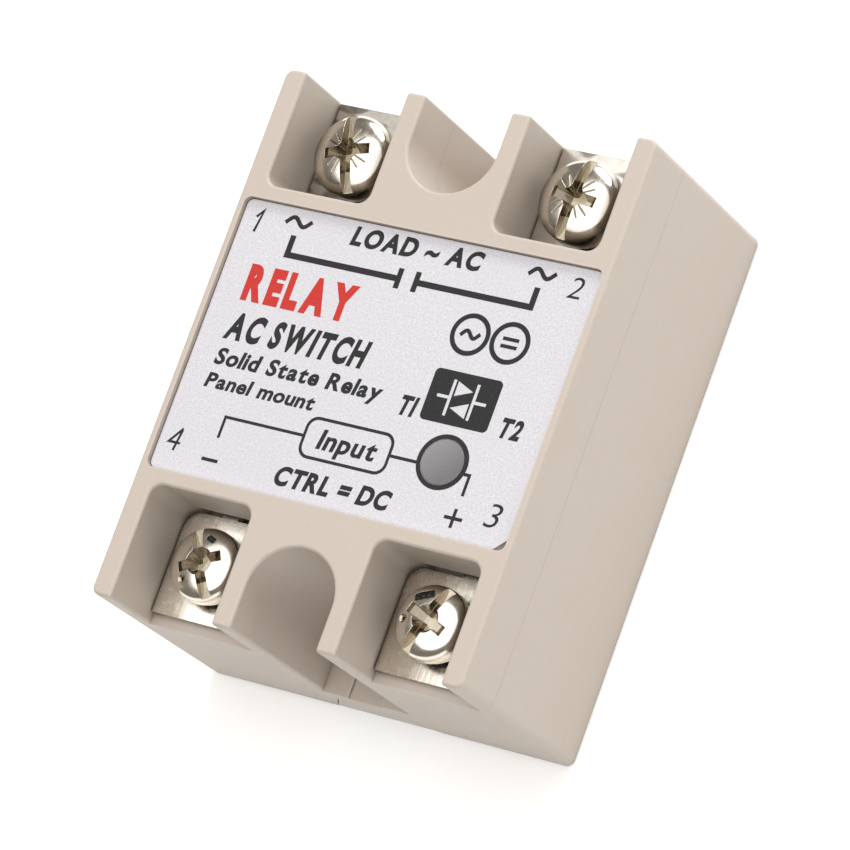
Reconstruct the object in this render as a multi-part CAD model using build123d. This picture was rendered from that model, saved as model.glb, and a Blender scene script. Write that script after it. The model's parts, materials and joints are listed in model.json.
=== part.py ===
from build123d import *
import os
from typing import NamedTuple

# Solid state relay, screw-terminal block pattern, in millimetres.
# +Z up, +Y towards the load terminals, origin at the centre of the mounting face.

os.makedirs("parts", exist_ok=True)

# ---- overall housing ----
width = 45.0                # X
length = 59.0               # Y
height = 26.8               # Z
wall = 2.2
corner_r = 0.9
edge_r = 0.35               # rounding of the moulding's top edges
skirt_lift = 0.12           # the metal base stands this far below the plastic skirt

# ---- terminal pockets ----
pocket_in_x = 7.5           # wall faces, measured from the centre line
pocket_out_x = 20.05
pocket_in_y = 16.75
pocket_corner_r = 1.4
sill_z = 18.05              # plastic floor that carries the terminal plates
plate_t = 0.9
plate_play = 0.22           # beside each terminal plate
plate_gap_y = 0.25          # between a plate and the pocket's inner wall
terminal_x = (pocket_in_x + pocket_out_x) / 2
screw_y = 22.8

# ---- mounting notches ----
notch_r = 5.2
notch_y = 24.8              # centre of the notch's round end
flange_z = 5.7
mount_pitch = 47.6
mount_hole_r = 2.25
hole_play_r = 0.15          # hole in the plastic over the hole in the base
channel_w = 4.2
channel_d = 0.35

# ---- metal base ----
base_t = 3.2
base_w = 42.0
base_l = 56.0
base_play = 0.1
base_corner = 1.5
tab_low_half = 6.3          # the base shows through the skirt under each notch
tab_top_half = 4.6
tab_end_y = 29.45
tab_play = 0.08

# ---- label and window ----
label_w = 43.4
label_l = 30.3
label_recess = 0.75
label_t = 0.15
label_corner_r = 0.8
label_cut = 1.5             # one corner of the label is cut off
label_play = 0.1
window_r = 2.4
window_x = 11.3
window_y = -7.6
window_depth = 0.9
window_flange = 0.25

# ---- inside ----
cavity_x = width / 2 - wall
cavity_y = 15.1
cavity_top = height - label_recess - 1.8
well_top = 9.5              # hollow under the terminal pockets
well_end_y = 27.4
board_z = 14.2
board_t = 1.6
board_w = 39.6
board_l = 29.2
post = 2.5                  # square posts that locate the board's corners
potting_top = 11.2
play = 0.05                 # between loose static pieces
past = length / 2 + 2       # safely beyond an end face
above = height + 1          # safely above the top


class Terminal(NamedTuple):
    """Sizes of one kind of screw terminal."""
    plate_end_y: float
    thread_r: float
    head_r: float
    head_h: float
    head_z: float           # underside of the head at rest
    shank: float
    washer_t: float
    nut_side: float
    nut_h: float
    leg_end_z: float
    tongue_half: float      # half width of the tongue through the wall


load = Terminal(29.2, 2.5, 4.45, 3.15, 21.1, 8.0, 1.0, 8.0, 2.8, 6.6, 2.7)
control = Terminal(28.3, 2.0, 3.95, 2.8, 20.5, 7.6, 0.8, 7.0, 2.8, 13.6, 0.95)
washer_gap = 0.03
nut_play_r = 0.05
washer_play_r = 0.1
washer_inset = 0.3          # washer's rim inside the head's rim
washer_split = 0.6
washer_split_tilt = 18.0
shank_play_r = 0.3
shank_hole_z = 11.4
plate_corner_r = 2.0
nut_corner = 0.5

# corner of each terminal: number, side in X, side in Y, kind
terminals = [(1, -1, 1, load), (2, 1, 1, load), (3, 1, -1, control), (4, -1, -1, control)]

# ---- tongue that carries each terminal plate through the inner wall ----
slot_x = (9.0, 18.6)
slot_top = 20.0
slot_depth = 1.4            # below the plate, so that the leg clears the wall
tongue_mid_x = 14.7
leg_x = (13.2, 16.2)
leg_y = (12.0, 12.9)

# ---- how far each screw's slot is turned from +Y, in degrees ----
slot_turns = {1: 17.0, 2: -5.0, 3: -21.0, 4: 28.0}


def block(x, y, z):
    """Box from its low and high limits along each axis."""
    size = [high - low for low, high in (x, y, z)]
    middle = [(high + low) / 2 for low, high in (x, y, z)]
    return Pos(*middle) * Box(*size)


def rod(x, y, z, radius):
    """Upright cylinder between two heights."""
    return Pos(x, y, (z[0] + z[1]) / 2) * Cylinder(radius, z[1] - z[0])


def to_corner(shape, side_x, side_y):
    """Mirror a piece made in the +X +Y corner into another corner."""
    if side_x < 0:
        shape = mirror(shape, about=Plane.YZ)
    if side_y < 0:
        shape = mirror(shape, about=Plane.XZ)
    return shape


def grown(shape_limits, extra):
    """Limits of a box, opened by a clearance on every side."""
    return [(low - extra, high + extra) for low, high in shape_limits]


def save(shape, node):
    export_step(shape, f"parts/{node}.step")


# ---------------------------------------------------------------- housing

def terminal_cutter(kind):
    """Everything cut from the housing at one terminal, in the +X +Y corner."""
    pocket = block((pocket_in_x, pocket_out_x), (pocket_in_y, past), (sill_z, above))
    inner_edges = pocket.edges().filter_by(Axis.Z).sort_by(Axis.Y)[:2]
    pocket = fillet(inner_edges, pocket_corner_r)
    slot = block(slot_x, (cavity_y - 1, pocket_in_y + plate_gap_y - play), (sill_z - slot_depth, slot_top))
    half_nut = kind.nut_side / 2 + play
    nut_well = block(
        (terminal_x - half_nut, terminal_x + half_nut),
        (screw_y - half_nut, screw_y + half_nut),
        (sill_z - kind.nut_h, sill_z + 1),
    )
    shank = rod(terminal_x, screw_y, (shank_hole_z, sill_z + 1), kind.thread_r + shank_play_r)
    return pocket + slot + nut_well + shank


def notch_cutter():
    """Screwdriver notch over the mounting hole at the +Y end."""
    tall = (flange_z, above)
    notch = rod(0, notch_y, tall, notch_r) + block((-notch_r, notch_r), (notch_y, past), tall)
    half = channel_w / 2
    channel = block((-half, half), (mount_pitch / 2, past), (flange_z - channel_d, flange_z + 1))
    hole = rod(0, mount_pitch / 2, (0, flange_z + 1), mount_hole_r + hole_play_r)
    return notch + channel + hole


def end_window(low_half, top_half, top_z, y):
    """Tapered bar through the skirt, under a notch."""
    outline = [(-low_half, 0), (low_half, 0), (top_half, top_z), (-top_half, top_z)]
    face = Plane.XZ.offset(-y[1]) * Polygon(*outline, align=None)
    return extrude(face, y[1] - y[0])


def housing():
    outline = RectangleRounded(width, length, corner_r)
    body = extrude(Pos(0, 0, skirt_lift) * outline, height - skirt_lift)

    for _, side_x, side_y, kind in terminals:
        body -= to_corner(terminal_cutter(kind), side_x, side_y)
    for side_y in (-1, 1):
        body -= to_corner(notch_cutter(), 1, side_y)

    # round the upright edges where the towers meet the end faces, then every top edge
    upright = [
        edge for edge in body.edges().filter_by(Axis.Z)
        if abs(abs(edge.center().Y) - length / 2) < 0.01 and edge.length > 8
    ]
    body = fillet(upright, edge_r)
    top = [edge for edge in body.edges() if edge.center().Z > height - 0.01]
    body = fillet(top, edge_r)

    recess = extrude(
        Pos(0, 0, height - label_recess) * RectangleRounded(label_w, label_l, label_corner_r),
        label_recess + 1,
    )
    body -= recess

    # hollow for the circuit, wells under the pockets and the seat of the metal base
    cavity = block((-cavity_x, cavity_x), (-cavity_y, cavity_y), (base_t, cavity_top))
    for side_x in (-1, 1):
        for side_y in (-1, 1):
            x = (cavity_x - post, cavity_x)
            y = (cavity_y - post, cavity_y)
            cavity -= to_corner(block(x, y, (board_z + board_t, cavity_top)), side_x, side_y)
            well = block((pocket_in_x, cavity_x), (cavity_y - 1, well_end_y), (base_t, well_top))
            body -= to_corner(well, side_x, side_y)
    body -= cavity
    half_w = base_w / 2 + base_play
    half_l = base_l / 2 + base_play
    body -= block((-half_w, half_w), (-half_l, half_l), (-1, base_t))
    for side_y in (-1, 1):
        halves = (tab_low_half + tab_play, tab_top_half + tab_play)
        opening = end_window(*halves, base_t + 1.5 * tab_play, (base_l / 2 - 1, past))
        body -= to_corner(opening, 1, side_y)
    body -= rod(window_x, window_y, (cavity_top - 1, height), window_r + window_flange + play)
    return body


def base_plate():
    plate = block((-base_w / 2, base_w / 2), (-base_l / 2, base_l / 2), (0, base_t))
    plate = chamfer(plate.edges().filter_by(Axis.Z), base_corner)
    for side_y in (-1, 1):
        tab = end_window(tab_low_half, tab_top_half, base_t, (base_l / 2 - 3, tab_end_y))
        plate += to_corner(tab, 1, side_y)
        plate -= rod(0, side_y * mount_pitch / 2, (-1, base_t + 1), mount_hole_r)
    return plate


# ---------------------------------------------------------------- label and window

def label():
    half_w = label_w / 2 - label_play
    half_l = label_l / 2 - label_play
    low_z = height - label_recess
    sheet = block((-half_w, half_w), (-half_l, half_l), (low_z, low_z + label_t))
    sharp = [edge for edge in sheet.edges().filter_by(Axis.Z) if edge.center().X > 0 > edge.center().Y]
    sheet = chamfer(sharp, label_cut)
    square = [
        edge for edge in sheet.edges().filter_by(Axis.Z)
        if edge.center().X < 0 or edge.center().Y > 0
    ]
    sheet = fillet(square, label_corner_r - label_play)
    return sheet - rod(window_x, window_y, (low_z - 1, low_z + 1), window_r + play)


def led_window():
    low_z = height - label_recess
    disc = rod(window_x, window_y, (low_z - window_depth, low_z + label_t), window_r)
    flange = rod(window_x, window_y, (low_z - window_depth, low_z - label_play), window_r + window_flange)
    return disc + flange


# ---------------------------------------------------------------- terminals

def terminal_plate(kind):
    low = sill_z
    high = sill_z + plate_t
    x = (pocket_in_x + plate_play, pocket_out_x - plate_play)
    pad = block(x, (pocket_in_y + plate_gap_y, kind.plate_end_y), (low, high))
    pad = fillet(pad.edges().filter_by(Axis.Z).sort_by(Axis.Y)[:2], plate_corner_r)
    tongue_x = (tongue_mid_x - kind.tongue_half, tongue_mid_x + kind.tongue_half)
    tongue = block(tongue_x, (leg_y[0], pocket_in_y + 3), (low, high))
    leg = block(leg_x, leg_y, (kind.leg_end_z, high))
    plate = pad + tongue + leg
    return plate - rod(terminal_x, screw_y, (low - 1, high + 1), kind.thread_r + shank_play_r)


def terminal_nut(kind):
    half = kind.nut_side / 2
    x = (terminal_x - half, terminal_x + half)
    y = (screw_y - half, screw_y + half)
    nut = block(x, y, (sill_z - kind.nut_h, sill_z))
    nut = chamfer(nut.edges().filter_by(Axis.Z), nut_corner)
    bore = rod(terminal_x, screw_y, (sill_z - kind.nut_h - 1, sill_z + 1), kind.thread_r + nut_play_r)
    return nut - bore


def clamp_washer(kind):
    """Split spring washer held under the screw's head."""
    high = kind.head_z - washer_gap
    low = high - kind.washer_t
    ring = rod(terminal_x, screw_y, (low, high), kind.head_r - washer_inset)
    ring -= rod(terminal_x, screw_y, (low - 1, high + 1), kind.thread_r + washer_play_r)
    half = washer_split / 2
    split = block((-half, half), (kind.thread_r - 1, kind.head_r + 1), (-3, 3))
    return ring - Pos(terminal_x, screw_y, (low + high) / 2) * Rot(0, washer_split_tilt, 0) * split


def terminal_screw(kind, turn):
    """Pan head with a slot and a cross, on a plain shank of the thread's outer size."""
    r = kind.head_r
    h = kind.head_h
    z = kind.head_z
    rim = 0.3 * h
    under = 0.15            # small chamfer under the head
    tip = 0.6
    profile = make_face(
        [
            Line((0, z), (r - under, z)),
            Line((r - under, z), (r, z + under)),
            Line((r, z + under), (r, z + rim)),
            EllipticalCenterArc((0, z + rim), r, h - rim, start_angle=0, arc_size=90),
            Line((0, z + h), (0, z)),
        ]
    )
    head = revolve(Plane.XZ * profile, Axis.Z)
    slot_w = 0.3 * r
    slot = block((-slot_w / 2, slot_w / 2), (-r - 1, r + 1), (z + 0.55 * h, z + h + 1))
    cross = block((-0.62 * r, 0.62 * r), (-slot_w * 0.6, slot_w * 0.6), (z + 0.5 * h, z + h + 1))
    pit = Pos(0, 0, z + 0.68 * h) * Cone(0.12 * r, 0.36 * r, 0.64 * h)
    head -= slot + cross + pit
    shank = rod(0, 0, (z - kind.shank + tip, z + 0.3 * h), kind.thread_r)
    point = Pos(0, 0, z - kind.shank + tip / 2) * Cone(kind.thread_r - tip, kind.thread_r, tip)
    return Rot(0, 0, turn) * (head + shank + point)


# ---------------------------------------------------------------- power section

ceramic_limits = [(-11.0, 11.0), (-9.0, 9.0), (base_t, base_t + 0.8)]
spreader_limits = [(-9.5, 9.5), (-7.6, 7.6), (base_t + 0.8, base_t + 2.2)]
chip_limits = [(-7.5, 7.5), (-6.6, 5.4), (base_t + 2.2, base_t + 5.8)]
strip_z = (6.6, 7.5)
strip_y = (0.4, 2.8)        # foot of a load strip beside the switch
pin_x = (3.0, 3.8)
pin_rise_y = (7.8, 8.6)
pin_t = 0.8


def load_strip():
    """Copper strip from a load terminal's leg to the switch, on the +X side."""
    run = block(leg_x, (strip_y[0] + 2, leg_y[0] - play), strip_z)
    inward = block((chip_limits[0][1], leg_x[1]), strip_y, strip_z)
    return run + inward


def gate_pin():
    """Wire from the switch up to the board."""
    run = block(pin_x, (chip_limits[1][1], pin_rise_y[1]), (strip_z[0], strip_z[0] + pin_t))
    rise = block(pin_x, pin_rise_y, (strip_z[0], board_z + board_t + pin_t))
    return run + rise


def potting():
    fill = block((-cavity_x, cavity_x), (-cavity_y, cavity_y), (base_t, potting_top))
    for side_x in (-1, 1):
        for side_y in (-1, 1):
            well = block((pocket_in_x, cavity_x), (cavity_y - 1, well_end_y), (base_t, well_top))
            fill += to_corner(well, side_x, side_y)
    for limits in (ceramic_limits, spreader_limits, chip_limits):
        low, high = limits[2]
        fill -= block(*grown(limits[:2], play), (low, high + play))
    room_x, room_y = grown([leg_x, (strip_y[0], leg_y[1])], 2 * play)
    foot_x = (chip_limits[0][1] - 2 * play, leg_x[1])
    foot_z = grown([strip_z], play)[0]
    strip_room = block(room_x, room_y, (foot_z[0], potting_top + 1))
    strip_room += block(foot_x, grown([strip_y], 2 * play)[0], foot_z)
    for side_x in (-1, 1):
        fill -= to_corner(strip_room, side_x, 1)
    pin_room_y = (chip_limits[1][1] - 2 * play, pin_rise_y[1] + 2 * play)
    fill -= block(grown([pin_x], 2 * play)[0], pin_room_y, (foot_z[0], potting_top + 1))
    return fill


# ---------------------------------------------------------------- board and its parts

board_top = board_z + board_t
package_size = (8.4, 6.4, 3.4)      # optocoupler body
package_lift = 0.5
package_place = (-6.5, 0.5)
pin_pitch = 2.54
resistor_size = (1.1, 6.0, 0.28)    # body radius, body length, wire radius
resistor_span = 9.6
resistor_places = [(3.6, -3.4), (3.6, 0.2), (-7.5, -7.0), (-7.5, -10.4)]
diode_size = (1.2, 4.6, 0.35)
diode_span = 8.0
diode_place = (3.6, 4.0)
transistor_r = 2.3
transistor_z = (1.5, 6.1)           # above the board
transistor_flat = 1.5
transistor_place = (3.0, -8.2)
capacitor_size = (9.0, 3.8, 7.0)
capacitor_lift = 0.3
capacitor_place = (-6.5, 8.8)
lamp_r = 2.4
lamp_lift = 1.2
lamp_gap = 1.1                      # from the dome to the label's recess
lamp_rim = 0.25


def circuit_board():
    board = block((-board_w / 2, board_w / 2), (-board_l / 2, board_l / 2), (board_z, board_top))
    through = (board_z - 1, board_top + 1)
    leg_slot = block(*grown([leg_x, leg_y], 2 * play), through)
    for side_x in (-1, 1):
        for side_y in (-1, 1):
            board -= to_corner(leg_slot, side_x, side_y)
    return board - block(*grown([pin_x, pin_rise_y], 2 * play), through)


def optocoupler():
    """Six-leg dual in-line package, its first pin marked by a dimple."""
    half_x, half_y = package_size[0] / 2, package_size[1] / 2
    low = board_top + package_lift
    high = low + package_size[2]
    package = block((-half_x, half_x), (-half_y, half_y), (low, high))
    package = chamfer(package.edges().group_by(Axis.Z)[-1], 0.4)
    package -= rod(1.2 - half_x, 1.2 - half_y, (high - 0.3, high + 1), 0.5)
    for side in (-1, 1):
        for place in (-pin_pitch, 0, pin_pitch):
            leg = block((place - 0.3, place + 0.3), (half_y, half_y + 0.7), (board_top, low + 1.7))
            package += to_corner(leg, 1, side)
    return Pos(*package_place, 0) * package


def axial_part(size, span, shoulder):
    """Round body with rounded shoulders on a wire along X, its ends bent down to the board."""
    body_r, body_l, wire_r = size
    middle = board_top + body_r + 0.3
    body = Rot(0, 90, 0) * Cylinder(body_r, body_l)
    body = fillet(body.edges(), shoulder)
    part = Pos(0, 0, middle) * (body + Rot(0, 90, 0) * Cylinder(wire_r, span))
    for side in (-1, 1):
        part += rod(side * span / 2, 0, (board_top, middle + wire_r), wire_r)
    return part


def resistors():
    body = axial_part(resistor_size, resistor_span, 0.5)
    return Compound([Pos(x, y, 0) * body for x, y in resistor_places])


def reverse_diode():
    return Pos(*diode_place, 0) * axial_part(diode_size, diode_span, 0.15)


def flat_transistor():
    """Small plastic transistor with one flat side and three legs."""
    low, high = (board_top + z for z in transistor_z)
    body = rod(0, 0, (low, high), transistor_r)
    body -= block((-3, 3), (transistor_flat, 4), (low - 1, high + 1))
    for place in (-pin_pitch / 2, 0, pin_pitch / 2):
        body += block((place - 0.22, place + 0.22), (-0.22, 0.22), (board_top, low + 0.1))
    return Pos(*transistor_place, 0) * body


def snubber_capacitor():
    half_x, half_y = capacitor_size[0] / 2, capacitor_size[1] / 2
    low = board_top + capacitor_lift
    case = block((-half_x, half_x), (-half_y, half_y), (low, low + capacitor_size[2]))
    case = fillet(case.edges().filter_by(Axis.Z), 0.5)
    for side in (-1, 1):
        case += rod(side * (half_x - 1), 0, (board_top, low + 0.1), 0.3)
    return Pos(*capacitor_place, 0) * case


def indicator_led():
    """Round lamp on two long legs, just under the window."""
    low = board_top + lamp_lift
    top = height - label_recess - lamp_gap
    body = rod(0, 0, (low, top - lamp_r), lamp_r) + Pos(0, 0, top - lamp_r) * Sphere(lamp_r)
    body += rod(0, 0, (low, low + 1), lamp_r + lamp_rim)
    for side in (-1, 1):
        middle = side * pin_pitch / 2
        body += block((middle - 0.25, middle + 0.25), (-0.25, 0.25), (board_top, low + 0.2))
    return Pos(window_x, window_y, 0) * body


# ---------------------------------------------------------------- write every node

if __name__ == "__main__":
    save(housing(), "housing")
    save(base_plate(), "base_plate")
    save(label(), "label")
    save(led_window(), "led_window")

    for number, side_x, side_y, kind in terminals:
        place = Pos(side_x * terminal_x, side_y * screw_y, 0)
        save(to_corner(terminal_plate(kind), side_x, side_y), f"terminal_plate_{number}")
        save(to_corner(terminal_nut(kind), side_x, side_y), f"terminal_nut_{number}")
        save(to_corner(clamp_washer(kind), side_x, side_y), f"clamp_washer_{number}")
        save(place * terminal_screw(kind, slot_turns[number]), f"terminal_screw_{number}")

    save(block(*ceramic_limits), "ceramic_insulator")
    save(block(*spreader_limits), "heat_spreader")
    save(chamfer(block(*chip_limits).edges().group_by(Axis.Z)[-1], 0.6), "triac")
    save(load_strip(), "load_strip_2")
    save(to_corner(load_strip(), -1, 1), "load_strip_1")
    save(gate_pin(), "gate_pin")
    save(potting(), "potting")

    save(circuit_board(), "circuit_board")
    save(optocoupler(), "optocoupler")
    save(resistors(), "resistors")
    save(flat_transistor(), "transistor")
    save(snubber_capacitor(), "snubber_capacitor")
    save(reverse_diode(), "reverse_diode")
    save(indicator_led(), "indicator_led")
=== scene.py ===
import json
import math

import bpy
import numpy as np
from mathutils import Matrix, Vector

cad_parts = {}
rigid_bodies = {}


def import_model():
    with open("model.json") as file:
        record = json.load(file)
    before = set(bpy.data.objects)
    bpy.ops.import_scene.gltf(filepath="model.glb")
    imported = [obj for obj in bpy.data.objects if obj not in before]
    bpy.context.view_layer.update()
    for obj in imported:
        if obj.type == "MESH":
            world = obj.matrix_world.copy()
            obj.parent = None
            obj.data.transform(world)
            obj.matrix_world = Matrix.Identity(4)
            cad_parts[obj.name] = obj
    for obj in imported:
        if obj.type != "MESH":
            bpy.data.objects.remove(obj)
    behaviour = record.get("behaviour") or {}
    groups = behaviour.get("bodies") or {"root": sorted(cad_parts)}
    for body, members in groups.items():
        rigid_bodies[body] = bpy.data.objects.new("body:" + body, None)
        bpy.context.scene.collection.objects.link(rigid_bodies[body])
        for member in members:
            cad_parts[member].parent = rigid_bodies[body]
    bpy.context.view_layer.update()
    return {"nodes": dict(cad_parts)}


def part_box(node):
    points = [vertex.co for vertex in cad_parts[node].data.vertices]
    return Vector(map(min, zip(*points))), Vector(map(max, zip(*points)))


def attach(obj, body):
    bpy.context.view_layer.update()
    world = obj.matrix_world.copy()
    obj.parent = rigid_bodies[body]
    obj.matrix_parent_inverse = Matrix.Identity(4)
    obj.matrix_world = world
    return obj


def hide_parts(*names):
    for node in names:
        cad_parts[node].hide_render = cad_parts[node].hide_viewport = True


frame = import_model()
MM = 0.001
ROOT = "housing_body"

# ---------------------------------------------------------------- places taken from the frame

label_low, label_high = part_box("label")
label_top = label_high.z
label_mid = (label_low + label_high) / 2
window_low, window_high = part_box("led_window")
window_mid = (window_low + window_high) / 2
body_low, body_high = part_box("housing")


# ---------------------------------------------------------------- node helpers

NODE_RAYS = 4          # rays that the occlusion and bevel nodes send out


class Material:
    """A Principled material with short calls for the nodes that feed it."""

    def __init__(self, name, color, roughness, **sockets):
        self.mat = bpy.data.materials.new(name)
        self.mat.use_nodes = True
        self.tree = self.mat.node_tree
        self.bsdf = self.tree.nodes["Principled BSDF"]
        self.set(self.bsdf, "Base Color", (*color, 1.0))
        self.set(self.bsdf, "Roughness", roughness)
        for key, value in sockets.items():
            self.set(self.bsdf, key.replace("_", " "), value)
        self.color = (*color, 1.0)
        self.roughness = roughness
        self.coords = self.add("ShaderNodeTexCoord").outputs["Object"]

    def add(self, kind, **settings):
        """Add a node with some of its properties set."""
        node = self.tree.nodes.new(kind)
        for key, value in settings.items():
            setattr(node, key, value)
        return node

    def set(self, node, socket, value):
        """Link a node's input to a socket, or give it a value."""
        if isinstance(value, bpy.types.NodeSocket):
            self.tree.links.new(value, node.inputs[socket])
        else:
            node.inputs[socket].default_value = value

    def noise(self, grain_mm, detail=3.0, stretch=(1, 1, 1)):
        """Noise from 0 to 1 whose blobs are about grain_mm across."""
        mapping = self.add("ShaderNodeMapping")
        self.set(mapping, "Vector", self.coords)
        self.set(mapping, "Scale", stretch)
        node = self.add("ShaderNodeTexNoise")
        self.set(node, "Vector", mapping.outputs["Vector"])
        self.set(node, "Scale", 1.0 / (grain_mm * MM))
        self.set(node, "Detail", detail)
        return node.outputs["Fac"]

    def math(self, operation, a, b=0.0):
        """Result of a Math node on sockets or numbers."""
        node = self.add("ShaderNodeMath", operation=operation)
        self.set(node, 0, a)
        self.set(node, 1, b)
        return node.outputs[0]

    def within(self, value, centre, reach):
        """1 where a value lies within reach of a centre, and 0 elsewhere."""
        away = self.math("ABSOLUTE", self.math("SUBTRACT", value, centre))
        return self.math("LESS_THAN", away, reach)

    def ramp(self, value, low, high, out_low=0.0, out_high=1.0):
        """Map low..high onto out_low..out_high, clamped; low may be the larger."""
        node = self.add("ShaderNodeMapRange")
        for key, number in zip(("Value", "From Min", "From Max", "To Min", "To Max"),
                               (value, low, high, out_low, out_high)):
            self.set(node, key, number)
        return node.outputs["Result"]

    def tint(self, factor, other):
        """Blend the base colour towards another by a factor."""
        node = self.add("ShaderNodeMix", data_type="RGBA")
        self.set(node, 0, factor)
        source = self.bsdf.inputs["Base Color"]
        if source.is_linked:
            self.set(node, 6, source.links[0].from_socket)
        else:
            self.set(node, 6, self.color)
        self.set(node, 7, (*other, 1.0))
        self.tree.links.new(node.outputs[2], source)

    def vary_roughness(self, factor, spread):
        """Swing the roughness by spread either way."""
        value = self.ramp(factor, 0.3, 0.7, self.roughness - spread, self.roughness + spread)
        self.set(self.bsdf, "Roughness", value)

    def relief(self, height, depth_mm):
        """Add a bump whose full height is depth_mm."""
        node = self.add("ShaderNodeBump")
        self.set(node, "Strength", 1.0)
        self.set(node, "Distance", depth_mm * MM)
        self.set(node, "Height", height)
        if self.bsdf.inputs["Normal"].is_linked:
            self.set(node, "Normal", self.bsdf.inputs["Normal"].links[0].from_socket)
        self.tree.links.new(node.outputs["Normal"], self.bsdf.inputs["Normal"])

    def axis(self, name):
        """One coordinate of the surface point, in millimetres."""
        node = self.add("ShaderNodeSeparateXYZ")
        self.set(node, "Vector", self.coords)
        return self.math("MULTIPLY", node.outputs[name], 1 / MM)

    def open_sky(self, reach_mm):
        """1 in the open, falling towards 0 in corners narrower than reach_mm."""
        node = self.add("ShaderNodeAmbientOcclusion", samples=NODE_RAYS)
        self.set(node, "Distance", reach_mm * MM)
        return node.outputs["AO"]

    def bevelled(self, radius_mm):
        """Surface normal as if every edge had this radius."""
        node = self.add("ShaderNodeBevel", samples=NODE_RAYS)
        self.set(node, "Radius", radius_mm * MM)
        return node.outputs["Normal"]

    def outer_edges(self, radius_mm):
        """0 on flats, rising to 1 on the outward edges."""
        dot = self.add("ShaderNodeVectorMath", operation="DOT_PRODUCT")
        self.set(dot, 0, self.bevelled(radius_mm))
        self.set(dot, 1, self.add("ShaderNodeNewGeometry").outputs["Normal"])
        bend = self.ramp(dot.outputs["Value"], 0.995, 0.86)
        not_in_corner = self.ramp(self.open_sky(1.0), 0.78, 0.96)
        return self.math("MULTIPLY", bend, not_in_corner)

    def soften(self, radius_mm):
        """Round the look of every edge before any relief is added."""
        self.tree.links.new(self.bevelled(radius_mm), self.bsdf.inputs["Normal"])


# ---------------------------------------------------------------- materials

# in millimetres
WITNESS_Z = 19.75                # height of the mould's parting line on the housing
NOTCH_HALF = 5.3                 # a mounting notch lies within this distance of X = 0
SIDE_X = 22.2                    # the housing's long sides lie beyond this
PLATE_CRESTS = (-19.0, 16.5)     # X where the two control plates are highest
PLATE_HALF = 6.0                 # half the width of a control plate
CORNER_SHADE_REACH = 1.5                  # how far in from the label's edge the bare corner reaches

# colours of painted shade: near black in crevices, brown where a pocket closes in on plates and
# screws
CREVICE_SHADE = (0.085, 0.062, 0.045)
POCKET_SHADE = (0.15, 0.115, 0.08)


def housing_plastic():
    """Beige moulding: faint clouds, specks, a parting line, painted shade in corners and crevices
    and a painted highlight on outer edges.
    """
    m = Material("housing_plastic", (0.538, 0.472, 0.412), 0.46, Specular_IOR_Level=0.42)
    x = m.math("ABSOLUTE", m.axis("X"))
    y = m.axis("Y")
    z = m.axis("Z")

    m.tint(m.ramp(m.noise(9.0, 2.0), 0.35, 0.65, 0.0, 0.10), (0.50, 0.42, 0.33))
    m.tint(m.ramp(m.noise(0.9, 3.0), 0.40, 0.70, 0.0, 0.07), (0.62, 0.56, 0.50))
    specks = m.ramp(m.noise(0.55, 1.0), 0.735, 0.80)
    m.tint(m.math("MULTIPLY", specks, 0.16), (0.34, 0.31, 0.29))
    m.vary_roughness(m.noise(1.4, 4.0), 0.05)

    on_side = m.math("GREATER_THAN", x, SIDE_X)
    in_notch = m.math("LESS_THAN", x, NOTCH_HALF)
    in_far_notch = m.math("MULTIPLY", in_notch, m.math("GREATER_THAN", y, 0.0))
    away = m.math("ABSOLUTE", m.math("SUBTRACT", z, WITNESS_Z))
    line = m.math("MULTIPLY", m.ramp(away, 0.10, 0.02), m.math("MAXIMUM", on_side, in_far_notch))
    m.relief(line, 0.035)
    m.tint(m.math("MULTIPLY", line, 0.34), (0.36, 0.31, 0.27))

    # painted shade: the plastic turns browner in concave corners and near black in narrow crevices
    # and slots
    m.tint(m.ramp(m.open_sky(4.0), 0.62, 0.36, 0.0, 0.38), (0.30, 0.24, 0.18))
    m.tint(m.ramp(m.open_sky(1.6), 0.44, 0.10, 0.0, 0.88), CREVICE_SHADE)
    # painted highlight: outer edges are lightened as if their rounding caught the light
    m.tint(m.math("MULTIPLY", m.outer_edges(0.35), 0.40), (0.72, 0.65, 0.59))

    # the recess under the label is bare where the label's corner is cut off; painted shade darkens
    # it there, most towards the label's edge
    half_x, half_y = label_high.x / MM, label_high.y / MM
    under_label = m.math("MULTIPLY", m.within(x, 0.0, half_x), m.within(y, 0.0, half_y))
    bare = m.math("MULTIPLY", m.within(z, label_low.z / MM, 0.03), under_label)
    depth = m.ramp(x, half_x - CORNER_SHADE_REACH, half_x - 0.2, 0.35, 0.92)
    m.tint(m.math("MULTIPLY", bare, depth), (0.075, 0.065, 0.058))

    m.relief(m.noise(0.16, 2.0), 0.0016)
    m.relief(m.noise(2.2, 2.0), 0.0040)
    return m.mat


def label_film():
    """Matt white film with a fine pebbled grain."""
    m = Material("label_film", (0.655, 0.642, 0.680), 0.50, Specular_IOR_Level=0.35)
    grain = m.noise(0.20, 2.0)
    m.tint(m.ramp(grain, 0.36, 0.55, 0.42, 0.0), (0.42, 0.41, 0.45))
    m.tint(m.ramp(m.noise(0.34, 1.0), 0.54, 0.72, 0.0, 0.45), (0.76, 0.75, 0.78))
    m.tint(m.ramp(m.noise(14.0, 2.0), 0.40, 0.65, 0.0, 0.22), (0.59, 0.58, 0.62))
    m.vary_roughness(grain, 0.10)
    m.relief(grain, 0.006)
    m.relief(m.noise(6.0, 1.0), 0.010)
    return m.mat


def ink(name, color, speck):
    """Dull printed ink with fine lighter specks."""
    m = Material(name, color, 0.58, Specular_IOR_Level=0.22)
    grain = m.noise(0.20, 2.0)
    m.tint(m.ramp(grain, 0.50, 0.74, 0.0, 0.30), speck)
    m.vary_roughness(grain, 0.10)
    m.relief(grain, 0.005)
    return m.mat


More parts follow.
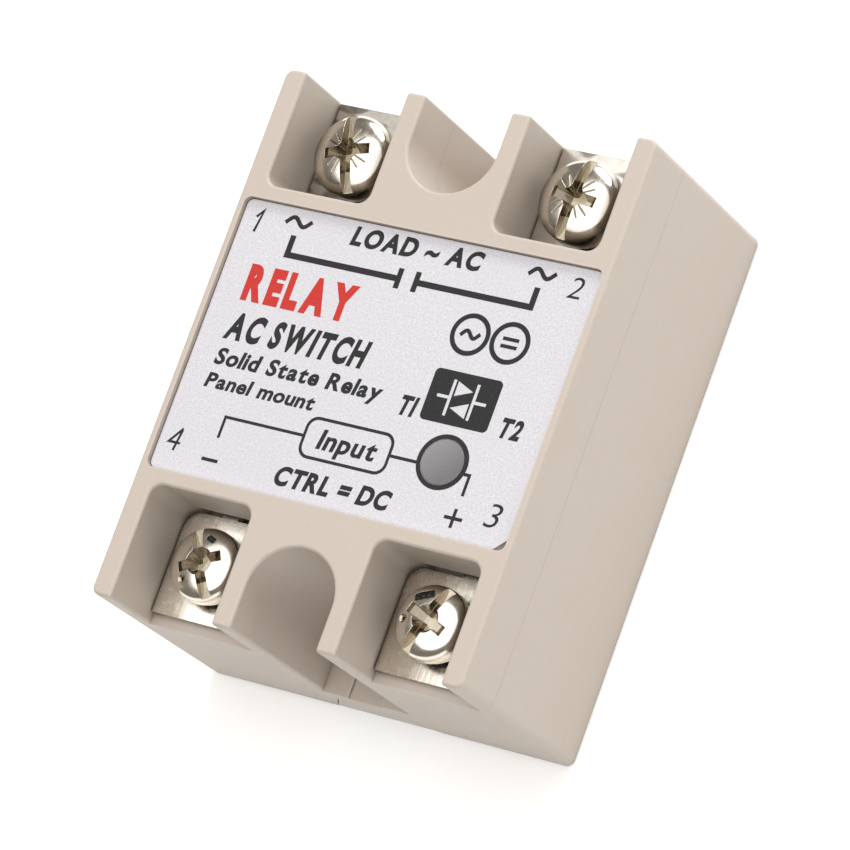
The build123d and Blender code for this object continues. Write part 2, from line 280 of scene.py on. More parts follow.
def window_plastic():
    """Smoked lens, with painted shading that makes it a little lighter towards one corner."""
    m = Material("window_plastic", (0.150, 0.147, 0.150), 0.40, Specular_IOR_Level=0.30)
    grain = m.noise(0.22, 2.0)
    m.tint(m.ramp(grain, 0.38, 0.66, 0.0, 0.35), (0.22, 0.22, 0.225))
    # painted shading: the lens is made lighter towards one corner
    across = m.math("SUBTRACT", m.axis("Y"), m.axis("X"))
    offset = (window_mid.y - window_mid.x) / MM
    m.tint(m.ramp(across, offset - 2.4, offset + 3.0, 0.0, 0.55), (0.34, 0.335, 0.34))
    m.vary_roughness(grain, 0.08)
    m.relief(grain, 0.008)
    return m.mat


def nickel(name, color, roughness, line_axis=None, dull=0.35, edge_mm=None):
    """Plated metal, with lines drawn along an axis and a painted highlight on its outer edges where
    asked for.
    """
    m = Material(name, color, roughness, Metallic=1.0)
    if edge_mm is not None:
        m.soften(edge_mm)
    m.tint(m.ramp(m.noise(1.6, 4.0), 0.40, 0.72, 0.0, dull), tuple(c * 0.80 for c in color))
    # painted highlight: outer edges are lightened as if catching the light
    if edge_mm is not None:
        m.tint(m.math("MULTIPLY", m.outer_edges(edge_mm), 0.85), (0.95, 0.92, 0.86))
    m.vary_roughness(m.noise(0.6, 4.0), roughness * 0.25)
    if line_axis is not None:
        stretch = [1.0, 1.0, 1.0]
        stretch[line_axis] = 0.03
        m.relief(m.noise(0.10, 3.0, stretch), 0.0040)
        m.relief(m.noise(0.45, 2.0, stretch), 0.0120)
    m.relief(m.noise(0.25, 2.0), 0.0008)
    m.relief(m.noise(2.5, 1.0), 0.014)
    return m


def control_plate_nickel():
    """Bright plates, each bowed a little across its width by the press, with painted shade near the
    pocket's walls.
    """
    m = nickel("terminal_nickel", (0.87, 0.815, 0.73), 0.25, line_axis=1, dull=0.15)
    x = m.axis("X")
    crest = m.ramp(x, -1.0, 1.0, *PLATE_CRESTS)
    across = m.math("DIVIDE", m.math("SUBTRACT", x, crest), PLATE_HALF)
    m.relief(m.math("SUBTRACT", 1.0, m.math("MULTIPLY", across, across)), 0.30)
    # painted shade: the plate darkens where the pocket's walls close in
    m.tint(m.ramp(m.open_sky(2.0), 0.76, 0.52, 0.0, 0.85), POCKET_SHADE)
    return m.mat


def load_plate_nickel():
    """Plates of a greyer nickel, with dark streaks drawn along X."""
    m = nickel("stained_nickel", (0.66, 0.62, 0.56), 0.20, dull=0.4)
    m.tint(m.ramp(m.noise(1.5, 1.5, (0.30, 1.0, 1.0)), 0.50, 0.58, 0.0, 0.75), (0.13, 0.12, 0.105))
    m.relief(m.noise(3.5, 0.0, (0.4, 1.0, 1.0)), 0.10)
    return m.mat


def rolled_aluminium():
    """Dull sheet, rolled along Y."""
    m = Material("base_metal", (0.51, 0.475, 0.440), 0.42, Metallic=1.0)
    m.tint(m.ramp(m.noise(2.5, 5.0), 0.40, 0.75, 0.0, 0.5), (0.38, 0.365, 0.36))
    m.vary_roughness(m.noise(0.8, 4.0), 0.08)
    m.relief(m.noise(0.12, 3.0, (1.0, 0.02, 1.0)), 0.0040)
    m.relief(m.noise(0.35, 4.0), 0.0040)
    return m.mat


def moulded(name, color, roughness, speck, grain_mm=0.25, relief_mm=0.004, **sockets):
    """Plain moulded, cast or lacquered surface of a hidden piece."""
    m = Material(name, color, roughness, **sockets)
    m.tint(m.ramp(m.noise(grain_mm * 5, 4.0), 0.40, 0.72, 0.0, 0.45), speck)
    m.vary_roughness(m.noise(grain_mm * 3, 3.0), roughness * 0.25)
    m.relief(m.noise(grain_mm, 3.0), relief_mm)
    return m.mat


def board_laminate():
    """Green lacquer over a woven board."""
    m = Material("board_laminate", (0.030, 0.165, 0.075), 0.28, Coat_Weight=0.4)
    weave = m.add("ShaderNodeTexWave", wave_type="BANDS", bands_direction="X")
    m.set(weave, "Vector", m.coords)
    m.set(weave, "Scale", 1.0 / (4.0 * MM))
    m.set(weave, "Distortion", 1.5)
    m.tint(m.ramp(weave.outputs["Fac"], 0.3, 0.8, 0.0, 0.35), (0.045, 0.24, 0.12))
    m.tint(m.ramp(m.noise(1.2, 4.0), 0.45, 0.75, 0.0, 0.4), (0.02, 0.11, 0.05))
    m.relief(m.noise(0.3, 3.0), 0.006)
    return m.mat


def screw_head_nickel():
    """Bright crowns, with painted shade on the rims where the pocket closes in on them."""
    m = nickel("screw_nickel", (0.84, 0.79, 0.71), 0.19, dull=0.25, edge_mm=0.07)
    # painted shade: the head darkens where the pocket closes in on it
    m.tint(m.ramp(m.open_sky(3.5), 0.93, 0.70, 0.0, 0.88), POCKET_SHADE)
    return m.mat


def struck_nickel():
    """Near-black grainy metal for the marks struck into a head: a painted dark reflection on the
    facets and painted shade in the pits.
    """
    m = Material("stamped_nickel", (0.050, 0.045, 0.040), 0.40, Metallic=1.0)
    grain = m.noise(0.16, 3.0)
    m.tint(m.ramp(grain, 0.54, 0.68, 0.0, 0.7), (0.30, 0.28, 0.25))
    m.vary_roughness(grain, 0.10)
    m.relief(grain, 0.02)
    return m.mat


screw_nickel = screw_head_nickel()
stamped_nickel = struck_nickel()
# the faces cut into a head take a darker, duller nickel: partly painted shade in the recess, partly
# duller plating there
recess_nickel = nickel("recess_nickel", (0.47, 0.415, 0.325), 0.22, dull=0.75, edge_mm=0.09).mat
control_plate = control_plate_nickel()
load_plate = load_plate_nickel()
washer_steel = nickel("washer_steel", (0.74, 0.70, 0.64), 0.20).mat
nut_steel = nickel("nut_steel", (0.62, 0.60, 0.58), 0.32).mat
copper = nickel("copper", (0.80, 0.44, 0.29), 0.28, line_axis=0).mat
film = label_film()
black_ink = ink("label_ink", (0.022, 0.022, 0.024), (0.085, 0.085, 0.09))
red_ink = ink("label_red", (0.53, 0.035, 0.027), (0.60, 0.12, 0.10))
black_epoxy = moulded("black_epoxy", (0.020, 0.020, 0.022), 0.42, (0.045, 0.045, 0.05))

NODE_MATERIALS = {
    "housing": housing_plastic(),
    "base_plate": rolled_aluminium(),
    "label": film,
    "led_window": window_plastic(),
    "ceramic_insulator": moulded("ceramic", (0.86, 0.85, 0.81), 0.55, (0.74, 0.73, 0.70), 0.12),
    "heat_spreader": copper,
    "triac": black_epoxy,
    "load_strip_1": copper,
    "load_strip_2": copper,
    "gate_pin": copper,
    "potting": moulded("potting_resin", (0.045, 0.045, 0.05), 0.22, (0.09, 0.09, 0.095), 1.0, 0.02),
    "circuit_board": board_laminate(),
    "optocoupler": moulded("white_package", (0.74, 0.73, 0.70), 0.45, (0.62, 0.61, 0.58)),
    "resistors": moulded(
        "resistor_body", (0.42, 0.58, 0.68), 0.30, (0.34, 0.48, 0.58), 0.4, Coat_Weight=0.5),
    "transistor": black_epoxy,
    "snubber_capacitor": moulded(
        "capacitor_case", (0.66, 0.50, 0.07), 0.26, (0.55, 0.40, 0.05), 0.4),
    "reverse_diode": black_epoxy,
    "indicator_led": moulded(
        "red_lamp", (0.62, 0.05, 0.04), 0.12, (0.50, 0.03, 0.03), 0.6, 0.002, Coat_Weight=0.6),
}
for number in (1, 2, 3, 4):
    NODE_MATERIALS[f"terminal_plate_{number}"] = load_plate if number < 3 else control_plate
    NODE_MATERIALS[f"terminal_nut_{number}"] = nut_steel
    NODE_MATERIALS[f"clamp_washer_{number}"] = washer_steel
    NODE_MATERIALS[f"terminal_screw_{number}"] = screw_nickel

for name, material in NODE_MATERIALS.items():
    mesh = frame["nodes"][name].data
    mesh.materials.clear()
    mesh.materials.append(material)


# ---------------------------------------------------------------- mesh helpers

def new_piece(name, verts, faces, material, body, slot, smooth=True):
    """Make a piece from vertices in metres, riding on a body."""
    mesh = bpy.data.meshes.new(name)
    mesh.from_pydata([tuple(v) for v in verts], [], [tuple(f) for f in faces])
    mesh.materials.append(material)
    for polygon in mesh.polygons:
        polygon.use_smooth = smooth
    mesh.validate()
    piece = bpy.data.objects.new(name, mesh)
    bpy.context.scene.collection.objects.link(piece)
    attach(piece, body)
    return piece


def lathe_faces(rings, segments):
    """Quads between successive closed rings of a lattice."""
    ring = np.arange(rings - 1)[:, None] * segments
    here = np.arange(segments)[None, :]
    after = (here + 1) % segments
    below = ring + segments
    quads = np.stack([ring + here, below + here, below + after, ring + after], -1)
    return quads.reshape(-1, 4).tolist()


def closed_lattice(points):
    """Vertices and faces of a lattice of rings, with a point closing each end."""
    rings, segments = points.shape[:2]
    verts = points.reshape(-1, 3)
    top, bottom = points[0].mean(0), points[-1].mean(0)
    verts = np.vstack([verts, top, bottom])
    faces = lathe_faces(rings, segments)
    last = (rings - 1) * segments
    n_top, n_bottom = rings * segments, rings * segments + 1
    for k in range(segments):
        after = (k + 1) % segments
        faces.append((n_top, k, after))
        faces.append((last + k, n_bottom, last + after))
    return verts, faces


# ---------------------------------------------------------------- terminal screws

HEAD_SEGMENTS = 144
CROWN_RINGS = 26
UNDER_RINGS = 5
THREAD_SEGMENTS = 72
ROWS_PER_PITCH = 10
CROWN, CUT, STAMP = 0, 1, 2      # material slots of a head

# in millimetres
UNDER_EDGE = 0.12          # rounding under the head
HEAD_GAP = 0.03            # between the head and its washer
SHANK_OVERLAP = 0.3        # the shank reaches this far up into the head
THREAD_PLAY = 0.02
POINT = 0.7                # length of the bevel at the shank's end
LONG = 9                   # more than any head's radius: a slot runs right across
CLEAR = 0.3                # cutters stand this far out of the crown
FACET_ROUND = 0.20
DIMPLE = (-2.20, -1.35)


def crown_height(r, head):
    """Height of the head's crown above its underside, at a distance from the middle."""
    cosine = np.sqrt(np.maximum(1.0 - (r / head["radius"]) ** 2, 0.0))
    return head["rim"] + (head["height"] - head["rim"]) * cosine ** head["crown"]


def crown_normal(point, head):
    """Outward direction of the crown above or below a point."""
    r = max(math.hypot(point[0], point[1]), 1e-6)
    step = 1e-4 * head["radius"]
    inner = float(crown_height(max(r - step, 0.0), head))
    outer = float(crown_height(min(r + step, head["radius"]), head))
    fall = (inner - outer) / (2 * step)
    return Vector((fall * point[0] / r, fall * point[1] / r, 1.0)).normalized()


def turned_head(head):
    """Rings from the middle of the crown, over the rim and in under the head."""
    angles = np.linspace(0.03, math.pi / 2, CROWN_RINGS)
    rings = [(r, float(crown_height(r, head))) for r in head["radius"] * np.sin(angles)]
    radius = head["radius"]
    edge = radius - UNDER_EDGE
    for turn in np.linspace(0.0, math.pi / 2, UNDER_RINGS):
        rings.append((edge + UNDER_EDGE * math.cos(turn), UNDER_EDGE * (1 - math.sin(turn))))
    rings.append((radius * 0.5, 0.0))
    around = np.linspace(0.0, 2 * math.pi, HEAD_SEGMENTS, endpoint=False)
    return np.array([[(r * math.cos(a), r * math.sin(a), z) for a in around] for r, z in rings])


def star(reach, half_width, root, arc_points=7):
    """Outline of a cross whose inner corners are rounded, counter-clockwise."""
    quarter = [(reach, half_width)]
    centre = half_width + root
    for angle in np.linspace(1.5 * math.pi, math.pi, arc_points):
        quarter.append((centre + root * math.cos(angle), centre + root * math.sin(angle)))
    quarter.append((half_width, reach))
    points = []
    for turn in range(4):
        cos, sin = round(math.cos(turn * math.pi / 2)), round(math.sin(turn * math.pi / 2))
        points += [(x * cos - y * sin, x * sin + y * cos) for x, y in quarter]
    return points


def circle(radius, count=40):
    """Points of a circle about the origin, counter-clockwise."""
    angles = np.linspace(0, 2 * math.pi, count, endpoint=False)
    return [(radius * math.cos(a), radius * math.sin(a)) for a in angles]


def rectangle(half_x, half_y):
    """Centred rectangle, counter-clockwise."""
    return [(half_x, -half_y), (half_x, half_y), (-half_x, half_y), (-half_x, -half_y)]


def rounded(x, y, half_x, half_y, corner, steps=9):
    """Rectangle with rounded corners about a centre, counter-clockwise."""
    points = []
    for quarter, (sx, sy) in enumerate(((1, 1), (-1, 1), (-1, -1), (1, -1))):
        for turn in np.linspace(quarter * math.pi / 2, (quarter + 1) * math.pi / 2, steps):
            points.append((x + sx * (half_x - corner) + corner * math.cos(turn),
                           y + sy * (half_y - corner) + corner * math.sin(turn)))
    return points


def loft(sections):
    """Closed solid through outlines of equal length, each with its height, from the lowest up."""
    verts = [(x, y, z) for outline, z in sections for x, y in outline]
    n = len(sections[0][0])
    faces = [tuple(reversed(range(n))), tuple(len(verts) - n + k for k in range(n))]
    for level in range(len(sections) - 1):
        for k in range(n):
            after = (k + 1) % n
            low = level * n
            faces.append((low + k, low + after, low + n + after, low + n + k))
    return verts, faces


def scratch_object(verts, faces, material_index, place=Matrix()):
    """A closed mesh in millimetres, as a blank to cut or as a cutter."""
    mesh = bpy.data.meshes.new("scratch")
    mesh.from_pydata([tuple(v) for v in verts], [], faces)
    for material in (screw_nickel, recess_nickel, stamped_nickel):
        mesh.materials.append(material)
    for polygon in mesh.polygons:
        polygon.material_index = material_index
        polygon.use_smooth = True
    mesh.transform(place)
    holder = bpy.data.objects.new("scratch", mesh)
    bpy.context.scene.collection.objects.link(holder)
    return holder


def evaluated_mesh(holder):
    """A new mesh of the object as its modifiers or curve settings leave it."""
    bpy.context.view_layer.update()
    depsgraph = bpy.context.evaluated_depsgraph_get()
    return bpy.data.meshes.new_from_object(holder.evaluated_get(depsgraph))


def cut_away(target, cutter):
    """Subtract the cutter, whose faces keep their material in the cut."""
    modifier = target.modifiers.new("cut", "BOOLEAN")
    modifier.operation = "DIFFERENCE"
    modifier.solver = "EXACT"
    modifier.object = cutter
    result = evaluated_mesh(target)
    target.modifiers.clear()
    old = target.data
    target.data = result
    bpy.data.meshes.remove(old)
    bpy.data.meshes.remove(cutter.data)


def groove(head, degrees, start, stop, half_width, depth):
    """Shallow V cut running outwards over the crown."""
    lift = float(crown_height(start, head))
    fall = math.atan2(lift - float(crown_height(stop, head)), stop - start)
    mark = [(0.0, -depth), (half_width, 0.06), (-half_width, 0.06)]
    verts, faces = loft([(mark, 0.0), (mark, (stop - start) / math.cos(fall))])
    lie_down = Matrix.Rotation(math.pi / 2, 4, "Y") @ Matrix.Rotation(math.pi / 2, 4, "Z")
    turn = Matrix.Rotation(math.radians(degrees), 4, "Z")
    follow = Matrix.Translation((start, 0.0, lift + 0.02)) @ Matrix.Rotation(fall, 4, "Y")
    return (verts, faces), turn @ follow @ lie_down


def dimple(head, x, y, sections):
    """Cut made square to the crown, through outlines each with its height."""
    surface = float(crown_height(math.hypot(x, y), head))
    tilt = Vector((0, 0, 1)).rotation_difference(crown_normal((x, y, 0.0), head))
    return loft(sections), Matrix.Translation((x, y, surface)) @ tilt.to_matrix().to_4x4()


def load_recess(head):
    """Slot over a cross with flared inner corners, and a pair of shallow marks in each quarter."""
    top, above = head["height"], head["height"] + 1
    yield loft([(rectangle(0.56, LONG), top - 1.35), (rectangle(0.64, LONG), above)]), Matrix()
    yield loft([(star(1.10, 0.42, 0.30), top - 2.25), (star(2.50, 0.56, 0.62), top - 0.80),
                (star(2.78, 0.64, 1.10), above)]), Matrix()
    for quarter in range(4):
        for spread, reach in ((-12, 2.45), (10, 2.70)):
            yield groove(head, 45 + 90 * quarter + spread, 1.25, reach, 0.17, 0.14)


def control_recess(head):
    """Slot over a cross on a flared seat, and one small dimple."""
    top, above = head["height"], head["height"] + 1
    yield loft([(rectangle(0.54, LONG), top - 1.15), (rectangle(0.62, LONG), above)]), Matrix()
    yield loft([(star(1.00, 0.40, 0.10), top - 1.95), (star(2.35, 0.54, 0.22), top - 0.85),
                (star(2.62, 0.62, 0.30), above)]), Matrix()
    yield loft([(circle(0.55), top - 1.60), (circle(1.62), top + 0.10)]), Matrix()
    bowl = [(circle(0.30), -0.16), (circle(0.52), 0.03), (circle(0.55), CLEAR)]
    yield dimple(head, *DIMPLE, bowl)


def facet(half_x, half_y, degrees):
    """Turned outline of a small struck facet."""
    cos, sin = math.cos(math.radians(degrees)), math.sin(math.radians(degrees))
    outline = rounded(0.0, 0.0, half_x, half_y, FACET_ROUND, steps=4)
    return [(x * cos - y * sin, x * sin + y * cos) for x, y in outline]


def pit(head):
    """Pit in the middle of the dimple, painted dark as shade."""
    drill = [(circle(0.14), -0.34), (circle(0.22), -0.10), (circle(0.22), CLEAR)]
    return dimple(head, *DIMPLE, drill)


def plain(head):
    """No struck marks."""
    return ()


def wide_mark(head):
    """One facet struck across the crown between two arms of the cross, with a painted dark
    reflection.
    """
    outline = facet(1.10, 0.46, 45)
    yield dimple(head, -1.80, 1.80, [(outline, -0.13), (outline, CLEAR)])
    yield pit(head)


def small_mark(head):
    """A smaller facet, a quarter of a turn on."""
    outline = facet(0.55, 0.34, -45)
    yield dimple(head, 1.55, 2.05, [(outline, -0.12), (outline, CLEAR)])
    yield pit(head)


# lengths in millimetres: height of the rim, what the recess takes off the crown's top, thread's
# pitch and radius; crown is the power of the crown's curve, and turn is in degrees
LOAD_HEAD = dict(
    recess=load_recess, marks=plain, rim=1.00, crown=0.56, cut=0.17, pitch=0.8, thread=2.5)
CONTROL_HEAD = dict(
    recess=control_recess, rim=0.84, crown=0.58, cut=0.14, pitch=0.7, thread=2.0)
HEADS = {
    1: dict(LOAD_HEAD, turn=17.0),
    2: dict(LOAD_HEAD, turn=-5.0),
    3: dict(CONTROL_HEAD, marks=wide_mark, turn=-21.0),
    4: dict(CONTROL_HEAD, marks=small_mark, turn=28.0),
}


def thread_lattice(radius, pitch, top_z, bottom_z):
    """Shank whose radius follows a helical groove."""
    around = np.linspace(0.0, 2 * math.pi, THREAD_SEGMENTS, endpoint=False)
    count = int(round((top_z - bottom_z) / pitch * ROWS_PER_PITCH))
    z = np.linspace(top_z, bottom_z, count)
    phase = z[:, None] / pitch - around[None, :] / (2 * math.pi)
    tooth = np.abs((phase % 1.0) - 0.5) * 2.0
    sunk = 0.60 * pitch * np.clip((0.9 - tooth) / 0.75, 0.0, 1.0)
    bevel = np.clip(bottom_z + POINT - z, 0.0, POINT)[:, None]
    r = np.maximum(radius - THREAD_PLAY - sunk - bevel, radius * 0.5)
    heights = np.repeat(z[:, None], THREAD_SEGMENTS, 1)
    return np.stack([r * np.cos(around), r * np.sin(around), heights], -1)


def set_exact_normals(mesh, head):
    """Crown faces take the turned surface's own normals, and cut faces keep theirs."""
    mesh.set_sharp_from_angle(angle=math.radians(28))
    normals = [Vector(n.vector) for n in mesh.corner_normals]
    for polygon in mesh.polygons:
        if polygon.material_index == CROWN and polygon.center.z > head["rim"]:
            for loop in polygon.loop_indices:
                point = mesh.vertices[mesh.loops[loop].vertex_index].co
                if point.z > head["rim"] + 0.02:
                    normals[loop] = crown_normal(point, head)
    mesh.normals_split_custom_set(normals)


def terminal_screw(number, head):
    """Build one screw in the place of its CAD node: a cut head and a threaded shank."""
    node = f"terminal_screw_{number}"
    body = f"screw_{number}"
    low, high = (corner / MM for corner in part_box(node))
    head_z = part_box(f"clamp_washer_{number}")[1].z / MM + HEAD_GAP
    middle_x, middle_y = (low.x + high.x) / 2, (low.y + high.y) / 2
    head = dict(head, radius=(high.x - low.x) / 2, height=high.z - head_z + head["cut"])

    piece = scratch_object(*closed_lattice(turned_head(head)), CROWN)
    for slot, cuts in ((CUT, head["recess"]), (STAMP, head["marks"])):
        for (verts, faces), place in cuts(head):
            cut_away(piece, scratch_object(verts, faces, slot, place))
    set_exact_normals(piece.data, head)
    piece.name = f"screw_{number}_head"
    piece.data.name = piece.name
    turn = Matrix.Rotation(math.radians(head["turn"]), 4, "Z")
    shift = Matrix.Translation((middle_x, middle_y, head_z))
    piece.data.transform(Matrix.Scale(MM, 4) @ shift @ turn)
    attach(piece, body)

    shank = thread_lattice(head["thread"], head["pitch"], head_z + SHANK_OVERLAP, low.z)
    verts, faces = closed_lattice(shank + [middle_x, middle_y, 0.0])
    new_piece(f"screw_{number}_thread", verts * MM, faces, screw_nickel, body, "screw_nickel")
    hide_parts(node)


for number, head in HEADS.items():
    terminal_screw(number, head)
for leftover in [o for o in bpy.data.objects if o.name.startswith("scratch")]:
    bpy.data.objects.remove(leftover)


# ---------------------------------------------------------------- printing on the label

INK_T = 0.014          # ink stands this far above the film, in millimetres
INK_STEP = 0.0003      # each band is a hair thicker than the last, so crossing ones share no face
CAPITAL = 0.729        # height of a capital letter of the built-in typeface, in ems
WORD_SPACE = 0.34      # in ems


def solid_from(curve):
    """Points and faces of a filled curve, one unit thick."""
    curve.extrude = 0.5
    holder = bpy.data.objects.new("words", curve)
    bpy.context.scene.collection.objects.link(holder)
    mesh = evaluated_mesh(holder)
    points = np.array([v.co[:] for v in mesh.vertices])
    faces = [tuple(polygon.vertices) for polygon in mesh.polygons]
    bpy.data.objects.remove(holder)
    bpy.data.curves.remove(curve)
    bpy.data.meshes.remove(mesh)
    return points, faces


def glyph(letter, weight):
    """One letter of the built-in typeface, fattened by weight on every side, in ems."""
    curve = bpy.data.curves.new("words", "FONT")
    curve.body = letter
    curve.offset = weight
    curve.resolution_u = 5
    return solid_from(curve)


class Print:
    """Collects flat printed shapes, in millimetres from the label's centre, as thin solid slabs."""

    def __init__(self, name, material, slot):
        self.name, self.material, self.slot = name, material, slot
        self.verts, self.faces = [], []
        self.top = INK_T

    def band(self, inner, outer, closed):
        """Slab between two matching lists of points."""
        n = len(inner)
        first = len(self.verts)
        self.top += INK_STEP
        for z in (0.0, self.top):
            self.verts += [(x, y, z) for x, y in inner]
            self.verts += [(x, y, z) for x, y in outer]
        low_in, low_out, high_in, high_out = first, first + n, first + 2 * n, first + 3 * n
        for a in range(n if closed else n - 1):
            b = (a + 1) % n
            self.faces.append((high_in + a, high_out + a, high_out + b, high_in + b))
            self.faces.append((low_in + b, low_out + b, low_out + a, low_in + a))
            self.faces.append((high_out + a, low_out + a, low_out + b, high_out + b))
            self.faces.append((high_in + b, low_in + b, low_in + a, high_in + a))
        if not closed:
            last = n - 1
            self.faces.append((low_in, low_out, high_out, high_in))
            self.faces.append((high_in + last, high_out + last, low_out + last, low_in + last))

    def stroke(self, points, width):
        """Line of constant width through the points, with mitred corners."""
        p = np.array(points, float)
        along = np.diff(p, axis=0)
        along /= np.linalg.norm(along, axis=1)[:, None]
        normal = np.stack([-along[:, 1], along[:, 0]], 1)
        side = np.vstack([normal[:1], (normal[:-1] + normal[1:]), normal[-1:]])
        side /= np.linalg.norm(side, axis=1)[:, None]
        reference = np.vstack([normal[:1], normal])
        stretch = 1.0 / np.maximum(np.sum(side * reference, 1), 0.4)
        half = side * stretch[:, None] * width / 2
        self.band((p + half).tolist(), (p - half).tolist(), closed=False)

    def ring(self, x, y, inner, outer, count=96):
        """Ring between two radii about a centre."""
        middle = np.array([x, y])
        unit = np.array(circle(1.0, count))
        self.band((unit * inner + middle).tolist(), (unit * outer + middle).tolist(), closed=True)

    def text(self, words, left, base, width, height, weight=0.02, slant=0.16, gap=0.085):
        """Words fitted to a width and a capital height, letter by letter so that none overlap."""
        letters = []
        cursor = 0.0
        for letter in words:
            if letter == " ":
                cursor += WORD_SPACE
                continue
            points, faces = glyph(letter, weight)
            points[:, 0] += cursor - points[:, 0].min()
            cursor = points[:, 0].max() + gap
            letters.append((points, faces))
        scale_x = width / (cursor - gap)
        scale_y = height / (CAPITAL + 2 * weight)
        for points, faces in letters:
            y = (points[:, 1] + weight) * scale_y
            x = left + points[:, 0] * scale_x + slant * y
            self.slab(np.stack([x, base + y, points[:, 2]], 1), faces)

    def cut_out(self, outline, holes):
        """Filled outline with closed holes in it."""
        curve = bpy.data.curves.new("shape", "CURVE")
        curve.dimensions = "2D"
        curve.fill_mode = "BOTH"
        for points in (outline, *holes):
            spline = curve.splines.new("POLY")
            spline.points.add(len(points) - 1)
            for point, (x, y) in zip(spline.points, points):
                point.co = (x, y, 0.0, 1.0)
            spline.use_cyclic_u = True
        self.slab(*solid_from(curve))

    def slab(self, points, faces):
        """Add a solid made one unit thick about zero, brought to the ink's thickness."""
        first = len(self.verts)
        points[:, 2] = np.where(points[:, 2] > 0, INK_T, 0.0)
        self.verts += points.tolist()
        self.faces += [tuple(first + k for k in face) for face in faces]

    def finish(self):
        """Make the piece, lying on the film."""
        origin = np.array([label_mid.x, label_mid.y, label_top])
        verts = np.array(self.verts) * MM + origin
        new_piece(self.name, verts, self.faces, self.material, ROOT, self.slot, smooth=False)


def swung_dash(sheet, x, y, half_width, rise, width):
    """The alternating-current sign."""
    t = np.linspace(-1.0, 1.0, 41)
    sheet.stroke(np.stack([x + t * half_width, y - rise * np.sin(t * 1.22 * math.pi)], 1), width)


black = Print("label_print_black", black_ink, "label_ink")
red = Print("label_print_red", red_ink, "label_red")

# terminal numbers and signs at the corners
black.stroke([(-19.95, 13.25), (-19.30, 14.05), (-19.68, 11.62)], 0.30)
black.text("2", 18.2, 11.75, 1.50, 2.40, weight=-0.008)
black.text("3", 18.1, -12.94, 1.45, 2.62, weight=-0.008)
black.stroke([(-19.20, -10.62), (-19.55, -12.88)], 0.27)
black.stroke([(-19.17, -10.42), (-20.38, -12.02), (-18.98, -12.02)], 0.27)
for side in (-1, 1):
    swung_dash(black, side * 14.78, 13.60, 1.58, 0.44, 0.46)
black.stroke([(-15.86, -12.97), (-13.89, -12.97)], 0.36)
black.stroke([(13.62, -12.92), (15.74, -12.92)], 0.36)
black.stroke([(14.69, -11.90), (14.69, -13.93)], 0.36)

# load contact
for side in (-1, 1):
    black.stroke([(side * 14.80, 12.1), (side * 14.80, 9.95), (side * 1.05, 9.95)], 0.66)
    black.stroke([(side * 1.05, 8.90), (side * 1.05, 11.1)], 0.62)

# control circuit: line, box, line, ring, line
window_x = (window_mid.x - label_mid.x) / MM
window_y = (window_mid.y - label_mid.y) / MM
box_y = -8.2
black.stroke([(-14.85, -10.51), (-14.85, box_y), (-5.3, box_y)], 0.32)
black.stroke([(5.3, box_y), (8.42, box_y)], 0.34)
black.stroke([(14.16, -8.30), (14.80, -8.30), (14.80, -10.51)], 0.34)
black.ring(window_x, window_y, 2.46, 2.95)
black.band(rounded(0.0, box_y, 4.99, 1.94, 1.0), rounded(0.0, box_y, 5.32, 2.27, 1.3), closed=True)

# two ring symbols and a block with a switching element knocked out of it
ring_xs, ring_y = (9.25, 13.95), 5.85
for x in ring_xs:
    black.ring(x, ring_y, 1.76, 2.28)
swung_dash(black, ring_xs[0], ring_y, 1.12, 0.36, 0.42)
for rise in (-0.40, 0.40):
    black.stroke([(ring_xs[1] - 0.95, ring_y + rise), (ring_xs[1] + 0.95, ring_y + rise)], 0.38)
block_x, block_y = 10.9, -0.95
bar_half, bar_in, bar_out, lead = 1.95, 1.22, 1.56, 0.17
lead_end = 2.9
bar_and_lead = ((bar_in, bar_half), (bar_out, bar_half), (bar_out, lead), (lead_end, lead),
                (lead_end, -lead), (bar_out, -lead), (bar_out, -bar_half), (bar_in, -bar_half))
arrow = ((-1.0, 1.85), (-1.0, 0.22), (1.0, 1.03))
holes = []
for side in (-1, 1):
    for shape in (bar_and_lead, arrow):
        holes.append([(block_x + side * x, block_y + side * y) for x, y in shape])
black.cut_out(rounded(block_x, block_y, 4.0, 2.8, 0.55), holes)
black.text("T1", 4.05, -3.85, 1.95, 2.3, weight=0.045)
black.text("T2", 16.0, -3.85, 2.6, 2.3, weight=0.045)

# words, all generic
black.text("LOAD ~ AC", -8.1, 12.38, 15.6, 2.25, weight=0.046, gap=0.065)
black.text("CTRL = DC", -6.9, -13.88, 13.8, 2.25, weight=0.046, gap=0.065)
black.text("Input", -3.4, -9.25, 6.9, 2.3, weight=0.030)
black.text("AC SWITCH", -18.7, -0.15, 17.0, 3.2, weight=0.048, gap=0.105)
black.text("Solid State Relay", -18.7, -2.98, 20.4, 1.95, weight=0.036, gap=0.055)
black.text("Panel mount", -18.8, -5.55, 13.4, 1.72, weight=0.034, gap=0.055)
red.text("RELAY", -18.35, 4.22, 13.4, 4.3, weight=0.066, slant=0.0, gap=0.125)

black.finish()
red.finish()


# ---------------------------------------------------------------- floor, light and camera

# in metres
FLOOR_HALF = 3.0
FLOOR_Z = -0.00005         # just under the mounting face, so that the two don't coincide

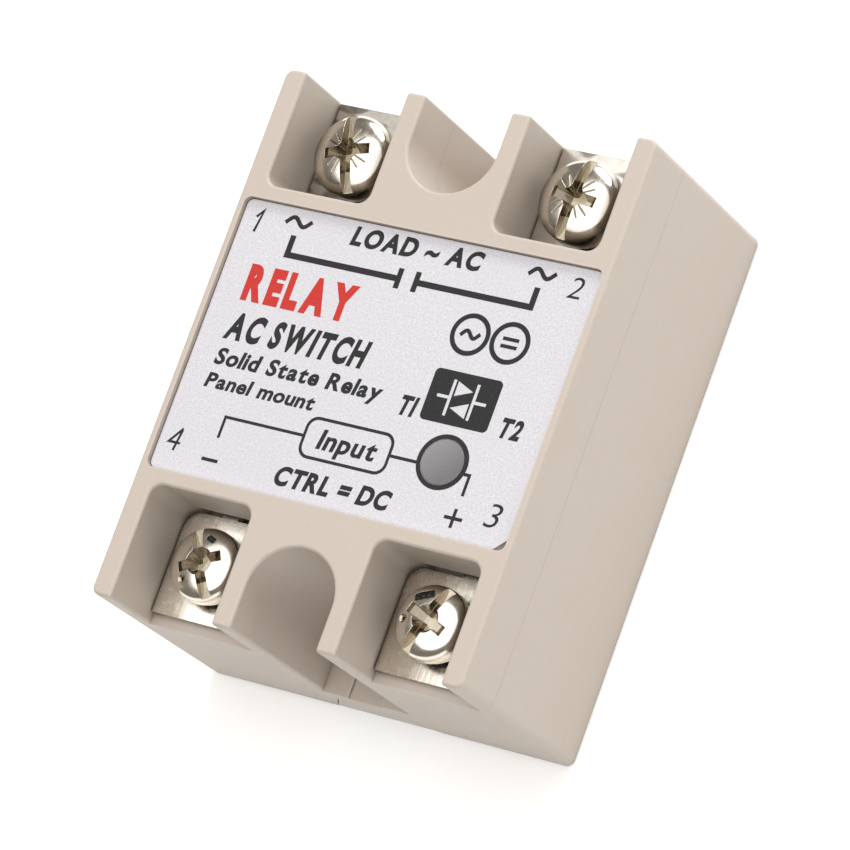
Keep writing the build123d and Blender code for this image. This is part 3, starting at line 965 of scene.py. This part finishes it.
floor_mesh = bpy.data.meshes.new("floor")
floor_corners = [(x, y, FLOOR_Z) for x, y in rectangle(FLOOR_HALF, FLOOR_HALF)]
floor_mesh.from_pydata(floor_corners, [], [(0, 1, 2, 3)])
floor = bpy.data.objects.new("floor", floor_mesh)
bpy.context.scene.collection.objects.link(floor)
paper = Material("floor_paper", (0.90, 0.90, 0.90), 0.85, Emission_Strength=0.22)
paper.set(paper.bsdf, "Emission Color", (1.0, 1.0, 1.0, 1.0))
paper.relief(paper.noise(1.5, 3.0), 0.01)
floor_mesh.materials.append(paper.mat)


def area_light(name, place, target, size, power):
    """An oval softbox, in metres and watts."""
    light = bpy.data.lights.new(name, "AREA")
    light.shape = "ELLIPSE"
    light.size, light.size_y = size
    light.energy = power
    holder = bpy.data.objects.new(name, light)
    holder.location = place
    holder.rotation_euler = (Vector(target) - Vector(place)).to_track_quat("-Z", "Y").to_euler()
    bpy.context.scene.collection.objects.link(holder)


aim = (0.0, 0.0, (body_low.z + body_high.z) / 2)
area_light("softbox_top", (0.06, -0.02, 0.8), aim, (1.25, 1.35), 7.45)
area_light("softbox_right", (0.78, -0.15, 0.40), aim, (0.7, 0.6), 1.15)
area_light("softbox_left", (-0.8, 0.1, 0.3), aim, (0.6, 0.4), 0.5)
area_light("softbox_far", (0.05, 0.8, 0.4), aim, (0.6, 0.5), 5.3)

world = bpy.data.worlds.new("studio")
bpy.context.scene.world = world
world.use_nodes = True
background = world.node_tree.nodes["Background"]
background.inputs["Color"].default_value = (1.0, 0.91, 0.79, 1.0)
background.inputs["Strength"].default_value = 0.205

# camera: its place in metres and its turns in degrees
camera_data = bpy.data.cameras.new("camera")
camera = bpy.data.objects.new("camera", camera_data)
bpy.context.scene.collection.objects.link(camera)
bpy.context.scene.camera = camera
camera_data.sensor_width = 36.0
camera_data.lens = 223.5
camera_data.clip_start = 0.01
camera_data.clip_end = 20.0
camera.location = (0.27822, -0.10998, 0.46738)
camera.rotation_euler = tuple(math.radians(a) for a in (22.1243, 25.6022, 21.8992))

scene = bpy.context.scene
scene.view_settings.view_transform = "Standard"
scene.view_settings.look = "None"
